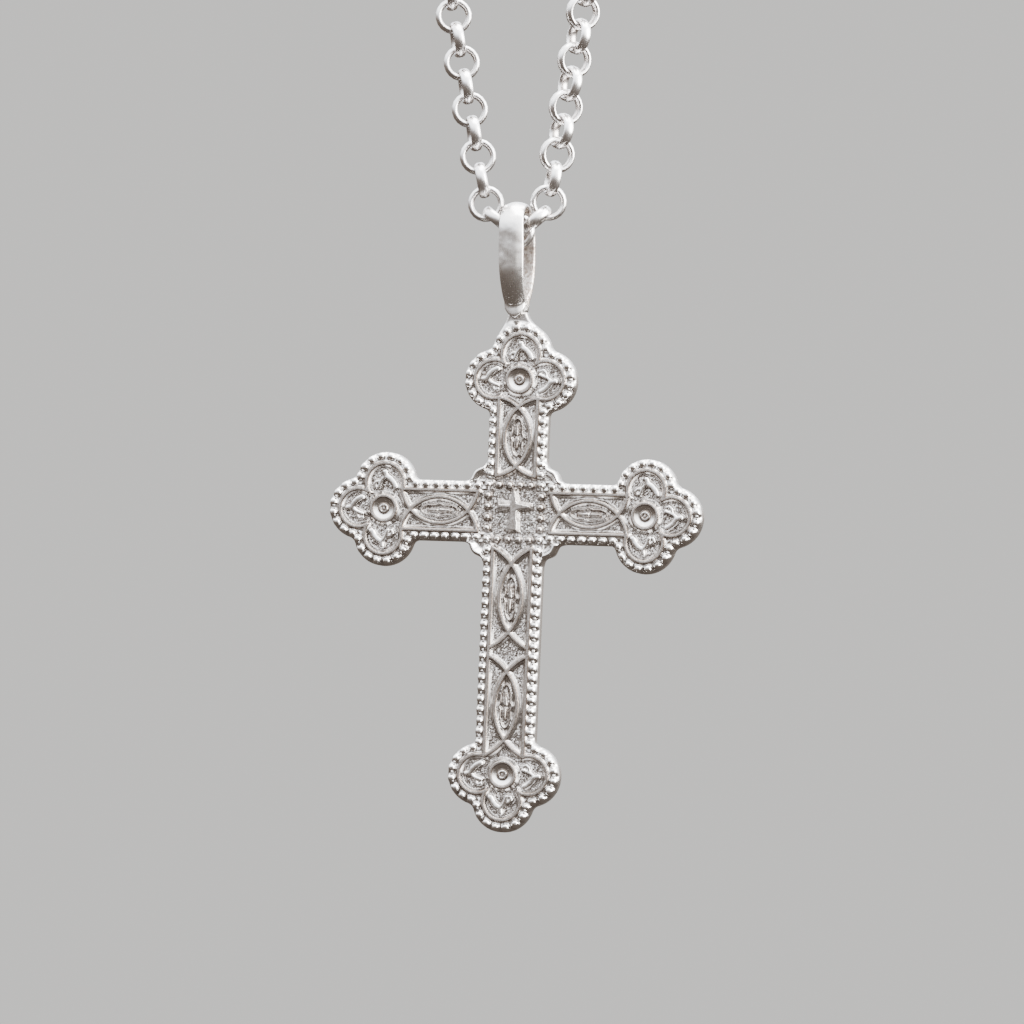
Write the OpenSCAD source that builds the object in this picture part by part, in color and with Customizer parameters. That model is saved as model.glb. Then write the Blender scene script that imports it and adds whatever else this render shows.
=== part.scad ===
// A cast cross pendant with trefoil ends, hanging by its long bail on a belcher chain.
// Millimetres. X runs to the wearer's left, Z up, and the ornamented face looks along -Y.
// The origin is where the loop of chain hangs: the underside of the clasp at its top.

/* [Cross] */
// Distance from the crossing to the boss of each side arm
arm_reach = 10.85; // [10.6:0.05:11.2]
// Distance from the crossing to the boss of the upper arm
head_reach = 10.7; // [10.5:0.05:11.2]
// Distance from the crossing to the boss of the stem's foot
foot_reach = 21.15; // [20.6:0.05:22]
// Width of the arms and of the stem
limb_w = 4.9; // [4.8:0.05:5.1]
// Radius of one lobe of a trefoil end
lobe_r = 2.48; // [2.4:0.02:2.6]
// Distance from a boss to the centre of each lobe round it
lobe_offset = 2.13; // [2.05:0.01:2.2]
// Leg of the leaf that fills each inner corner
gusset_leg = 1.55; // [1.4:0.05:2]
// Thickness of the plate from its back to the sunk ground
plate_t = 1.25; // [1:0.05:1.5]

/* [Relief] */
// Height of the raised wires over the sunk ground
wire_h = 0.35; // [0.25:0.05:0.45]
// Width of a raised wire
wire_w = 0.27; // [0.22:0.01:0.32]
// Radius of a bead of the border
bead_r = 0.33; // [0.28:0.01:0.36]
// Wanted distance between neighbouring beads along a straight edge
bead_pitch = 0.88; // [0.8:0.02:0.96]
// Height of the boss at the middle of each trefoil
boss_h = 0.46; // [0.4:0.02:0.5]

/* [Almond panels] */
// Half length of the almonds on the arms
short_half = 2.4; // [2.3:0.05:2.45]
// Half width of the almonds on the arms
short_belly = 1.07; // [1:0.01:1.12]
// Half length of the two almonds on the stem
long_half = 2.75; // [2.6:0.05:2.8]
// Half width of the two almonds on the stem
long_belly = 0.94; // [0.9:0.01:1]

/* [Bail] */
// Height of the bail above the upper lobe
bail_h = 9.9; // [9.8:0.05:10.5]
// Angle by which the cross hangs out of true, as its bail is soldered a little beside the middle
hang_tilt = 2.3; // [0:0.1:3]
// Half of the loop's depth, front to back, at its widest
bail_half_depth = 2.4; // [2.4:0.05:2.5]
// Thickness of the strap where it passes over the chain
strap_t = 0.6; // [0.56:0.02:0.62]
// Width of the strap halfway down
strap_w = 2.04; // [1.9:0.02:2.06]

/* [Chain] */
// Inside radius of a link
link_in = 1.06; // [1.06:0.01:1.08]
// Thickness of the link's band, from inside to outside
band_t = 0.42; // [0.38:0.01:0.42]
// Width of the link's band
band_w = 0.86; // [0.78:0.01:0.86]
// Distance between the centres of neighbouring links
link_pitch = 1.95; // [1.93:0.01:1.95]
// Links of one strand above the third, an odd number
strand_links = 111; // [91:2:113]
// Lean of each strand from the vertical, in degrees
lean = 10.3; // [9:0.1:12]
// Turn of the left strand's links about their strand, in degrees
left_turn = 20; // [0:1:20]
// Turn of the right strand's links about their strand, in degrees
right_turn = 42; // [0:1:42]

/* [Clasp] */
// Radius of the clasp's ring, at the middle of its wire
clasp_r = 2.3; // [2.2:0.05:2.4]
// Radius of the clasp's wire
clasp_wire_r = 0.5; // [0.45:0.01:0.5]

/* [Hidden] */
$fn = 48;

silver = [0.75, 0.73, 0.71];
chain_silver = [0.82, 0.81, 0.8];

// Relief: a small depth lets raised work bite into the plate
bite = 0.2;
back_y = 0.7;
ground_y = back_y - plate_t;

// Lines that the border and the wires follow, measured inwards from the outline
bead_inset = 0.355;
wire_inset = 0.93;
side_wire_inset = 0.84;
half_limb = limb_w / 2;
bead_line = half_limb - bead_inset;
wire_line = half_limb - side_wire_inset;
lobe_bead_r = lobe_r - bead_inset;
lobe_wire_r = lobe_r - wire_inset;
beads_per_lobe = 8;
field_half = 2.2;
field_beads = 6;
stem_start = 2.9;

// Where a lobe's wire meets the side wires, and the half square that the three lobe wires leave open
lobe_corner = sqrt(pow(lobe_wire_r, 2) - pow(lobe_offset - wire_line, 2));
open_half = (lobe_offset + sqrt(2 * pow(lobe_wire_r, 2) - pow(lobe_offset, 2))) / 2;

// An almond is where two circles overlap; its radius and their offset follow from its half sizes
function almond_r(half, belly) = (half * half + belly * belly) / (2 * belly);
function almond_reach(half, belly) =
    let (r = almond_r(half, belly)) sqrt(pow(r, 2) - pow(r - belly - wire_line, 2));

// Centres of the almonds along each limb
short_reach = almond_reach(short_half, short_belly);
long_reach = almond_reach(long_half, long_belly);
arm_almond = arm_reach - lobe_corner - short_reach;
head_almond = head_reach - lobe_corner - short_reach;
foot_almond_low = foot_reach - lobe_corner - long_reach;
foot_almond_high = stem_start + long_reach;

// Each limb: turn from the upper arm, reach, almond centres, almond half length and belly
LIMBS = [
    [0, head_reach, [head_almond], short_half, short_belly],
    [-90, arm_reach, [arm_almond], short_half, short_belly],
    [90, arm_reach, [arm_almond], short_half, short_belly],
    [180, foot_reach, [foot_almond_high, foot_almond_low], long_half, long_belly],
];

// Bail: heights above the crossing
lobe_top = head_reach + lobe_offset + lobe_r;
bail_top = lobe_top + bail_h;
pivot_rise = bail_top - bail_half_depth;
bail_inner_half = bail_half_depth - strap_t;
shoulder_z = pivot_rise - 2.4;
foot_z = lobe_top + 1.5;
foot_half_depth = 1.25;
facet_z = foot_z - 1;
facet_half_depth = 0.9;
foot_bottom = lobe_top - 0.7;
hollow_z = foot_z + 0.6;
hollow_half_depth = 0.42;
strap_belly_r = 60;
strap_belly_z = lobe_top + 5.9;

// Chain, measured from the middle of the link inside the bail
second = [1.577, 0.914];
second_turn = 39.6;
third = [2.6, 2.3];
clasp_side_step = 1.15;
eye_r = 1.0;
eye_wire_r = 0.35;
eye_seat = 0.25;
eye_x = clasp_r + eye_seat + eye_r;
end_link_reach = 1.58;
clasp_reach = clasp_r + end_link_reach;
half_run = strand_links * link_pitch + clasp_reach;
turn_sum = (90 + lean) * PI / 180;
straight_run = (half_run - third[0] / cos(lean) * turn_sum) / (1 + tan(lean) * turn_sum);
arc_r = (third[0] + straight_run * sin(lean)) / cos(lean);
arc_z = third[1] + straight_run * cos(lean) + arc_r * sin(lean);
clasp_rise = arc_z + arc_r;
pivot_z = -(clasp_rise - clasp_r - clasp_wire_r);
cross_z = pivot_z - pivot_rise;

// A point of the strand at a distance past the third link, and the strand's direction there
function run_turn(s) = s < straight_run ? 0 : (s - straight_run) / arc_r * 180 / PI;
function run_angle(s) = 90 - lean + run_turn(s);
function run_point(s) =
    s < straight_run
        ? [third[0] + s * sin(lean), third[1] + s * cos(lean)]
        : let (a = run_turn(s) - lean) [arc_r * cos(a), arc_z + arc_r * sin(a)];

// The links turn into their strand's turn over the first few, and out of it over the last few
turning_links = 5;
function strand_turn(turn, i) =
    turn * min(1, (i + 2) / turning_links, (strand_links - i) / turning_links);

// Two-dimensional shapes, drawn in the plane of the face
module almond_shape(half, belly) {
    r = almond_r(half, belly);
    intersection() {
        translate([belly - r, 0]) circle(r);
        translate([r - belly, 0]) circle(r);
    }
}

module ring_shape(r, w) {
    difference() {
        circle(r + w / 2);
        circle(r - w / 2);
    }
}

module pill_shape(length, width) {
    square([width, length - width], center = true);
    for (end = [-1, 1]) translate([0, end * (length - width) / 2]) circle(width / 2);
}

module three_lobes(r) {
    translate([0, lobe_offset]) circle(r);
    for (side = [-1, 1]) translate([side * lobe_offset, 0]) circle(r);
}

module outline_shape() {
    square([2 * arm_reach, limb_w], center = true);
    translate([-half_limb, -foot_reach]) square([limb_w, foot_reach + head_reach]);
    for (limb = LIMBS) rotate(limb[0]) translate([0, limb[1]]) three_lobes(lobe_r);
    for (quarter = [0:3]) rotate(90 * quarter) gusset_shape();
}

module gusset_shape() {
    inner = half_limb - 0.3;
    outer = half_limb + gusset_leg;
    polygon([[inner, inner], [outer, inner], [outer, half_limb], [half_limb, outer], [inner, outer]]);
}

// The raised wires of one limb, pointing up: side wires, almonds and the trefoil's outline
module limb_wires(reach, centres, half, belly) {
    r = almond_r(half, belly);
    low = centres[0] - almond_reach(half, belly);
    high = reach - lobe_corner;
    for (side = [-1, 1]) {
        translate([side * wire_line - wire_w / 2, low]) square([wire_w, high - low]);
    }
    for (c = centres) translate([0, c]) {
        for (side = [-1, 1]) intersection() {
            translate([side * (r - belly), 0]) ring_shape(r, wire_w);
            square([2 * wire_line + wire_w, 2 * r], center = true);
        }
        cartouche(half);
    }
    translate([0, reach]) difference() {
        three_lobes(lobe_wire_r + wire_w / 2);
        three_lobes(lobe_wire_r - wire_w / 2);
        square(2 * open_half - wire_w / 2, center = true);
    }
}

// The little frame inside an almond, with a bar and a dot in it
module cartouche(half) {
    frame_l = 1.16 * half;
    frame_w = 0.98;
    rim = 0.14;
    difference() {
        pill_shape(frame_l, frame_w);
        pill_shape(frame_l - 2 * rim, frame_w - 2 * rim);
    }
    pill_shape(frame_l - 0.7, 0.26);
    circle(0.24);
}

// The sprig in a lobe: two leaves that meet in a point outwards, over a dot and a foot
module sprig_shape() {
    leaf_turn = 36;
    for (side = [-1, 1]) translate([side * 0.44, 0.42]) rotate(side * leaf_turn) almond_shape(0.68, 0.2);
    translate([0, -0.04]) circle(0.17);
    translate([0, -0.62]) square([1.2, 0.16], center = true);
    for (side = [-1, 1]) translate([side * 0.66, -0.42]) circle(0.18);
}

// Solids of the face: their own z is the height above the sunk ground
module on_face() {
    translate([0, ground_y, 0]) rotate([90, 0, 0]) children();
}

module raised(h) {
    on_face() translate([0, 0, -bite]) linear_extrude(h + bite) children();
}

module plate() {
    translate([0, back_y, 0]) rotate([90, 0, 0]) linear_extrude(plate_t) outline_shape();
}

module wires() {
    raised(wire_h) for (limb = LIMBS) rotate(limb[0]) limb_wires(limb[1], limb[2], limb[3], limb[4]);
}

module bead() {
    sphere(bead_r);
}

module trefoil_beads() {
    for (lobe = [-90, 0, 90]) rotate(lobe) translate([0, lobe_offset]) {
        for (i = [0:beads_per_lobe - 1]) {
            rotate(180 * (i + 0.5) / beads_per_lobe) translate([lobe_bead_r, 0]) bead();
        }
    }
}

module edge_beads(reach) {
    run = reach - lobe_offset - field_half;
    count = round(run / bead_pitch - 0.5);
    step = run / (count + 0.5);
    for (side = [-1, 1], i = [1:count]) {
        translate([side * bead_line, field_half + i * step]) bead();
    }
}

module field_bead_row() {
    step = 2 * field_half / (field_beads - 1);
    for (i = [0:field_beads - 2]) translate([-field_half + i * step, field_half]) bead();
}

module beads() {
    on_face() {
        for (limb = LIMBS) rotate(limb[0]) {
            translate([0, limb[1]]) trefoil_beads();
            edge_beads(limb[1]);
            field_bead_row();
        }
    }
}

// A boss: an outer ring with a sloping flank and a lower inner ring, turned as one
module boss() {
    dish_h = 0.14;
    inner_h = boss_h - 0.06;
    rotate_extrude() polygon([
        [0, -bite], [1.38, -bite], [1.38, 0.05], [1.14, boss_h], [0.95, boss_h],
        [0.86, dish_h], [0.72, dish_h], [0.58, inner_h], [0.4, inner_h], [0.26, dish_h],
        [0, dish_h]
    ]);
}

module bosses() {
    on_face() for (limb = LIMBS) rotate(limb[0]) translate([0, limb[1]]) boss();
}

module sprigs() {
    raised(0.28) for (limb = LIMBS) rotate(limb[0]) translate([0, limb[1]]) {
        for (lobe = [-90, 0, 90]) rotate(lobe) translate([0, lobe_offset]) sprig_shape();
    }
}

// The small cross in the centre field, with sloping sides
module ridge_bar(length) {
    rotate([90, 0, 0]) translate([0, 0, -length / 2]) linear_extrude(length)
        polygon([[-0.44, -bite], [0.44, -bite], [0.44, 0.1], [0.28, 0.5], [-0.28, 0.5], [-0.44, 0.1]]);
}

module small_cross() {
    on_face() {
        translate([0, 0.08]) ridge_bar(3.45);
        translate([0, 0.5]) rotate(90) ridge_bar(2.8);
    }
}

// The leaf of an inner corner: a raised rim round a small dish
module corner_leaf_shape() {
    low = half_limb + 0.08;
    high = half_limb + gusset_leg - 0.3;
    dish_in = 0.36;
    difference() {
        polygon([[low, low], [high, low], [low, high]]);
        translate([low + dish_in, low + dish_in]) circle(0.2);
    }
}

module corner_leaves() {
    raised(0.3) for (quarter = [0:3]) rotate(90 * quarter) corner_leaf_shape();
}

// Side view of a loop: a round top, straight shoulders, and sides that draw together to the narrow
// half depth at low and run on to the bottom
module loop_shape(r, narrow, low, bottom) {
    fall = shoulder_z - low;
    side_r = (pow(r - narrow, 2) + fall * fall) / (2 * (r - narrow));
    intersection() {
        translate([0, pivot_rise]) circle(r);
        translate([-r, pivot_rise]) square([2 * r, r]);
    }
    translate([-r, shoulder_z]) square([2 * r, pivot_rise - shoulder_z]);
    intersection() {
        translate([r - side_r, shoulder_z]) circle(side_r);
        translate([side_r - r, shoulder_z]) circle(side_r);
        translate([-r, bottom]) square([2 * r, shoulder_z - bottom]);
    }
}

// Below the loop, two facets lead down to a neck that is sunk in the plate
module neck_shape() {
    lift = 0.4;
    step_z = facet_z - 0.2;
    neck_z = lobe_top - 0.1;
    neck_front = 0.6;
    neck_back = back_y - 0.05;
    slope = (foot_half_depth - facet_half_depth) / (foot_z - facet_z);
    top_half_depth = foot_half_depth + slope * lift;
    polygon([
        [-top_half_depth, foot_z + lift], [-facet_half_depth, facet_z], [-neck_front, step_z],
        [-neck_front, neck_z], [-0.4, foot_bottom], [neck_back, foot_bottom], [neck_back, step_z],
        [facet_half_depth, facet_z], [top_half_depth, foot_z + lift]
    ]);
}

module bail_side() {
    loop_bottom = (foot_z + facet_z) / 2;
    difference() {
        union() {
            loop_shape(bail_half_depth, foot_half_depth, foot_z, loop_bottom);
            neck_shape();
        }
        loop_shape(bail_inner_half, hollow_half_depth, hollow_z, hollow_z);
    }
}

module bail() {
    intersection() {
        rotate([90, 0, 90]) translate([0, 0, -strap_w]) linear_extrude(2 * strap_w) bail_side();
        rotate([90, 0, 0]) translate([0, 0, -4]) linear_extrude(8) intersection() {
            translate([strap_w / 2 - strap_belly_r, strap_belly_z]) circle(strap_belly_r, $fn = 200);
            translate([strap_belly_r - strap_w / 2, strap_belly_z]) circle(strap_belly_r, $fn = 200);
        }
    }
}

module casting() {
    union() {
        plate();
        wires();
        union() {
            bosses();
            sprigs();
            small_cross();
            corner_leaves();
        }
        beads();
    }
}

module cross_pendant() {
    color(silver) translate([0, 0, cross_z]) union() {
        rotate([0, hang_tilt, 0]) casting();
        bail();
    }
}

// One link: a band that is rounded inside and out, turned to a ring, its axis along Z
module link() {
    rotate_extrude() translate([link_in, 0]) polygon([
        [0, -0.16], [0.2, -band_w / 2], [band_t, -0.2],
        [band_t, 0.2], [0.2, band_w / 2], [0, 0.16]
    ]);
}

// A link at a place in the XZ plane, its strand running at an angle, turned about the strand
module placed_link(place, angle, turn) {
    translate([place[0], 0, place[1]]) rotate([0, -angle, 0]) rotate([90 + turn, 0, 0]) link();
}

module strand(turn) {
    placed_link(second, second_turn, 90 + strand_turn(turn, -1));
    for (i = [0:strand_links]) {
        s = i * link_pitch;
        placed_link(run_point(s), run_angle(s), strand_turn(turn, i) + (i % 2 == 0 ? 0 : 90));
    }
}

module chain_left() {
    color(chain_silver) translate([0, 0, pivot_z]) {
        placed_link([0, 0], 0, 0);
        mirror([1, 0, 0]) strand(-left_turn);
    }
}

module chain_right() {
    color(chain_silver) translate([0, 0, pivot_z]) strand(right_turn);
}

// The clasp: a plain ring with an eye soldered to its side
module clasp() {
    color(chain_silver) translate([-clasp_side_step, 0, clasp_r + clasp_wire_r]) rotate([90, 0, 0]) {
        rotate_extrude() translate([clasp_r, 0]) circle(clasp_wire_r);
        translate([eye_x, 0]) rotate_extrude() translate([eye_r, 0]) circle(eye_wire_r);
    }
}

cross_pendant();
chain_left();
chain_right();
clasp();
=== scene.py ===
# %% [markdown]
# A cast silver cross on its chain, dressed for its picture. The construction already stands as solids,
# so this lesson only makes what the eye sees: the fine relief of the face, the polished bail, the links
# and their finishes. Every new piece rides on a body of that frame, and nothing in the frame is moved.

# %% Load the frame
import math

import bmesh
import bpy
import numpy as np
from mathutils import Matrix, Vector


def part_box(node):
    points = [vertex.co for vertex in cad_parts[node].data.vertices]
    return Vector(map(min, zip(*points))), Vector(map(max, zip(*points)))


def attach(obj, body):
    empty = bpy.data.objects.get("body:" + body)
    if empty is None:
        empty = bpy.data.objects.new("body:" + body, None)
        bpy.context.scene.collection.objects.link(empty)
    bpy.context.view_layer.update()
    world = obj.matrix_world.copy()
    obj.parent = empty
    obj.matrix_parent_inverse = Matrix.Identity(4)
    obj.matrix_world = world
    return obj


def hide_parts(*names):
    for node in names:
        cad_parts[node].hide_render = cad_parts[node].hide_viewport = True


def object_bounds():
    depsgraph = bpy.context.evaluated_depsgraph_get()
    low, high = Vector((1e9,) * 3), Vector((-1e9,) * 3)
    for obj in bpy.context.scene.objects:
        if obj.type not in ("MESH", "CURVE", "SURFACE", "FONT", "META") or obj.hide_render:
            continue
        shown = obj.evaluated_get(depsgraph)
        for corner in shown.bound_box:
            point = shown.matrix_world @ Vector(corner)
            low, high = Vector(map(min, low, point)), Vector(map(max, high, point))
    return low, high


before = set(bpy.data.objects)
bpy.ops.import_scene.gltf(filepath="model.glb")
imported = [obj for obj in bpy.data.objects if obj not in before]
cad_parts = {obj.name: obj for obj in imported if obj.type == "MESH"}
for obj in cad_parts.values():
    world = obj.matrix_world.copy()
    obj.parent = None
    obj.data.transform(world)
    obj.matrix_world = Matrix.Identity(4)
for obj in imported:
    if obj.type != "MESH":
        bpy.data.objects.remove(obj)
frame_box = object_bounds()
cross_low, cross_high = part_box("cross_pendant")

# %% [markdown]
# The sizes below are those of the construction, in millimetres, with the crossing of the arms as zero.
# A jeweller thinks in millimetres, and Blender in metres, so the pieces are drawn in millimetres and
# scaled once, at the end, by one helper. What can be read from the frame is read from it.

# %% Sizes of the cross
MM = 0.001
ARM_REACH, HEAD_REACH, FOOT_REACH = 10.85, 10.7, 21.15
HALF_LIMB = 2.45
LOBE_R, LOBE_OFFSET = 2.48, 2.13
LEAF_LEG = 1.55
GROUND_Y, BACK_Y = -0.55, 0.7
LOBE_TOP = HEAD_REACH + LOBE_OFFSET + LOBE_R
FOOT_TIP = FOOT_REACH + LOBE_OFFSET + LOBE_R
HANG_TILT = math.radians(2.3)
FOOT_DROP = (FOOT_REACH + LOBE_OFFSET) * math.cos(HANG_TILT) + LOBE_R
CROSSING = Vector((0, 0, cross_low.z + FOOT_DROP * MM))
BAIL_TOP = (cross_high.z - CROSSING.z) / MM
print(f"crossing at z {CROSSING.z:.5f} m, bail top {BAIL_TOP:.2f} mm above it")

# %% [markdown]
# The camera comes first, because every later judgement is made through it. The photograph looks up a
# little, from the pendant's left side, and is turned a touch, with a long lens. Direction, turn and
# distance are named, and the camera's place follows from them.

# %% Camera
CAMERA_SIDE, CAMERA_RISE, CAMERA_TURN = math.radians(14), math.radians(-3.5), math.radians(0.25)
LENS, SENSOR, IMAGE_SIDE = 250, 36, 1024
PIXELS_PER_MM = 12.4
CROSSING_PIXEL = (516, 513)
towards_camera = Vector((
    math.sin(CAMERA_SIDE) * math.cos(CAMERA_RISE),
    -math.cos(CAMERA_SIDE) * math.cos(CAMERA_RISE),
    math.sin(CAMERA_RISE),
))
distance = IMAGE_SIDE * LENS / SENSOR / PIXELS_PER_MM * MM
camera_data = bpy.data.cameras.new("camera")
camera_data.lens, camera_data.sensor_width = LENS, SENSOR
camera_data.clip_start, camera_data.clip_end = 0.01, 20
camera_data.shift_x = (IMAGE_SIDE / 2 - CROSSING_PIXEL[0]) / IMAGE_SIDE
camera_data.shift_y = (CROSSING_PIXEL[1] - IMAGE_SIDE / 2) / IMAGE_SIDE
camera = bpy.data.objects.new("camera", camera_data)
bpy.context.scene.collection.objects.link(camera)
camera.matrix_world = (
    Matrix.Translation(CROSSING + towards_camera * distance)
    @ (-towards_camera).to_track_quat("-Z", "Y").to_matrix().to_4x4()
    @ Matrix.Rotation(CAMERA_TURN, 4, "Z")
)
bpy.context.scene.camera = camera
print(f"camera {distance * 1000:.1f} mm from the crossing")

# %% [markdown]
# The room, the floor and the silvers are all trees of nodes. Three small helpers keep their making
# short: one adds a node and sets its inputs by name, one adds a sum or a product, and one adds a ramp.

# %% Helpers for nodes
def node_of(tree, kind, **inputs):
    """A new node with its unlinked inputs set; names use _ for spaces."""
    node = tree.nodes.new(kind)
    for name, value in inputs.items():
        node.inputs[name.replace("_", " ")].default_value = value
    return node


def math_of(tree, operation, *operands, clamp=False):
    """A maths node on sockets or numbers."""
    node = tree.nodes.new("ShaderNodeMath")
    node.operation, node.use_clamp = operation, clamp
    for socket, value in zip(node.inputs, operands):
        if isinstance(value, (int, float)):
            socket.default_value = value
        else:
            tree.links.new(value, socket)
    return node.outputs[0]


def ramp_of(tree, factor, stops):
    """The colour of a ramp fed by a factor, with its stops as (place, colour)."""
    ramp = tree.nodes.new("ShaderNodeValToRGB")
    elements = ramp.color_ramp.elements
    while len(elements) < len(stops):
        elements.new(0.5)
    for element, (place, colour) in zip(elements, stops):
        element.position = place
        element.color = (*colour, 1)
    tree.links.new(factor, ramp.inputs["Fac"])
    return ramp.outputs["Color"]


# %% [markdown]
# A thing may look one way to the camera and another way in the silver. The Light Path node tells the two
# apart: the camera gets a plain pale tone, and every other ray gets the light of the room.

# %% Pale to the camera
PALE = (0.80, 0.79, 0.77)


def pale_to_camera(tree, lit, kind, output):
    """Shows a pale tone to the camera and a lit shader to everything else."""
    pale = node_of(tree, kind, Color=(*PALE, 1), Strength=1.0)
    seen = tree.nodes.new("ShaderNodeLightPath")
    chosen = tree.nodes.new("ShaderNodeMixShader")
    tree.links.new(seen.outputs["Is Camera Ray"], chosen.inputs["Fac"])
    tree.links.new(lit.outputs[0], chosen.inputs[1])
    tree.links.new(pale.outputs[0], chosen.inputs[2])
    tree.links.new(chosen.outputs[0], tree.nodes.new(output).inputs["Surface"])


# %% [markdown]
# Silver shows its surroundings more than itself. A photographer sets a large soft light above and to one
# side, so that every slope that faces it turns white, and keeps the rest of the room dim, so that flat
# tops stay warm grey and slopes on the far side go dark. The room is a world with one ramp by height, and
# a second ramp that adds a glow to one side.

# %% The room
ROOM_POWER = 3.25
HEIGHT_STOPS = [
    (0.0, (0.03, 0.024, 0.018)), (0.40, (0.05, 0.041, 0.034)), (0.51, (0.085, 0.068, 0.056)),
    (0.56, (0.14, 0.122, 0.11)), (0.63, (0.52, 0.54, 0.57)), (0.76, (1.25, 1.29, 1.35)),
    (1.0, (1.7, 1.73, 1.78)),
]
SIDE_STOPS = [(0.62, (0, 0, 0)), (0.80, (0.9, 0.89, 0.87)), (1.0, (1.7, 1.67, 1.62))]
GLOW_START, GLOW_FULL = -0.35, 0.0
world = bpy.data.worlds.new("room")
bpy.context.scene.world = world
world.use_nodes = True
room = world.node_tree
room.nodes.clear()
direction = room.nodes.new("ShaderNodeTexCoord")
split = room.nodes.new("ShaderNodeSeparateXYZ")
room.links.new(direction.outputs["Generated"], split.inputs["Vector"])
up, sideways = (math_of(room, "MULTIPLY_ADD", split.outputs[axis], 0.5, 0.5) for axis in "ZX")
above = node_of(room, "ShaderNodeMapRange", From_Min=GLOW_START, From_Max=GLOW_FULL)
room.links.new(split.outputs["Z"], above.inputs["Value"])
glow = room.nodes.new("ShaderNodeMix")
glow.data_type, glow.blend_type = "RGBA", "ADD"
room.links.new(above.outputs["Result"], glow.inputs["Factor"])
room.links.new(ramp_of(room, up, HEIGHT_STOPS), glow.inputs["A"])
room.links.new(ramp_of(room, sideways, SIDE_STOPS), glow.inputs["B"])
dim = node_of(room, "ShaderNodeBackground", Strength=ROOM_POWER)
room.links.new(glow.outputs["Result"], dim.inputs["Color"])
pale_to_camera(room, dim, "ShaderNodeBackground", "ShaderNodeOutputWorld")
print("room of", len(room.nodes), "nodes")

# %% [markdown]
# Two square softboxes add what the ramps can't: a gleam on the tops of the beads and on the slopes that
# face right. Their places are given in millimetres from the crossing, and the camera doesn't see them.

# %% Soft lights
def soft_light(name, place, size, power, colour):
    """A square softbox at a place in millimetres from the crossing, turned towards it."""
    data = bpy.data.lights.new(name, "AREA")
    data.shape, data.size, data.energy, data.color = "SQUARE", size * MM, power, colour
    light = bpy.data.objects.new(name, data)
    light.location = CROSSING + Vector(place) * MM
    light.rotation_euler = (-Vector(place)).to_track_quat("-Z", "Y").to_euler()
    light.visible_camera = False
    bpy.context.scene.collection.objects.link(light)


soft_light("top_light", (60, 40, 400), 420, 7.0, (1, 0.99, 0.97))
soft_light("side_light", (420, -20, 130), 360, 8.0, (1, 0.985, 0.96))

# %% [markdown]
# The floor is one large pale sheet below the pendant. The camera sees it as pale as the backdrop, and the
# silver sees it dim, as a photographer does with a dark cloth laid below the picture's edge.

# %% Floor
FLOOR_GAP, FLOOR_HALF = 0.035, 4.0
CLOTH_STOPS = [
    (0.045, (0.03, 0.024, 0.02)), (0.09, (0.30, 0.25, 0.215)), (0.15, (0.25, 0.205, 0.17)),
    (0.28, (0.12, 0.098, 0.083)), (0.6, (0.2, 0.16, 0.13)), (1.0, (0.15, 0.125, 0.11)),
]


def new_object(name, bm):
    """Turns a finished bmesh into an object at the origin."""
    mesh = bpy.data.meshes.new(name)
    bm.to_mesh(mesh)
    bm.free()
    made = bpy.data.objects.new(name, mesh)
    bpy.context.scene.collection.objects.link(made)
    return made


bm = bmesh.new()
bmesh.ops.create_grid(bm, x_segments=1, y_segments=1, size=FLOOR_HALF)
bmesh.ops.translate(bm, verts=bm.verts, vec=(0, 0, frame_box[0].z - FLOOR_GAP))
floor = new_object("floor", bm)
floor_paint = bpy.data.materials.new("floor_paint")
floor_paint.use_nodes = True
paint = floor_paint.node_tree
paint.nodes.clear()
below = paint.nodes.new("ShaderNodeTexCoord")
reach = paint.nodes.new("ShaderNodeVectorMath")
reach.operation = "LENGTH"
paint.links.new(below.outputs["Object"], reach.inputs[0])
cloth = node_of(paint, "ShaderNodeEmission", Strength=1.0)
paint.links.new(ramp_of(paint, reach.outputs["Value"], CLOTH_STOPS), cloth.inputs["Color"])
pale_to_camera(paint, cloth, "ShaderNodeEmission", "ShaderNodeOutputMaterial")
floor.data.materials.append(floor_paint)
print(f"floor {FLOOR_GAP * 1000:.0f} mm below the pendant")

# %% [markdown]
# Three effects are shared by the silvers, so each is a node group with named sockets. Two more helpers
# start a group and add a noise, and the groups follow one by one.

# %% Helpers for groups
def new_group(name, inputs, outputs):
    """An empty shader node group with its input and output nodes."""
    group = bpy.data.node_groups.new(name, "ShaderNodeTree")
    kinds = {"value": "NodeSocketFloat", "colour": "NodeSocketColor", "vector": "NodeSocketVector"}
    for label, kind, default in inputs:
        socket = group.interface.new_socket(label, in_out="INPUT", socket_type=kinds[kind])
        socket.default_value = default
    for label, kind in outputs:
        group.interface.new_socket(label, in_out="OUTPUT", socket_type=kinds[kind])
    return group, group.nodes.new("NodeGroupInput"), group.nodes.new("NodeGroupOutput")


def noise_of(tree, vector, scale, detail=2.0, roughness=0.5):
    """A noise texture on a vector socket."""
    noise = node_of(tree, "ShaderNodeTexNoise", Scale=scale, Detail=detail, Roughness=roughness)
    tree.links.new(vector, noise.inputs["Vector"])
    return noise.outputs["Fac"]


# %% [markdown]
# Tarnish and painted shade share one group: it takes a mask of how dark a place is and gives a colour and
# a roughness. A jeweller blackens the whole piece and then wipes the high places bright, and a slow noise
# makes the wiping uneven; on the cross's face the same mask also carries painted shade.

# %% Tarnish and painted shade
PATCH_SCALE, PATCH_DETAIL, UNEVENNESS = 900, 3, 0.5


def mix_by(group, factor, first, second, kind):
    """A mix of two sockets by a factor."""
    mix = group.nodes.new("ShaderNodeMix")
    mix.data_type = kind
    group.links.new(factor, mix.inputs["Factor"])
    group.links.new(first, mix.inputs["A"])
    group.links.new(second, mix.inputs["B"])
    return mix.outputs["Result"]


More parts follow.
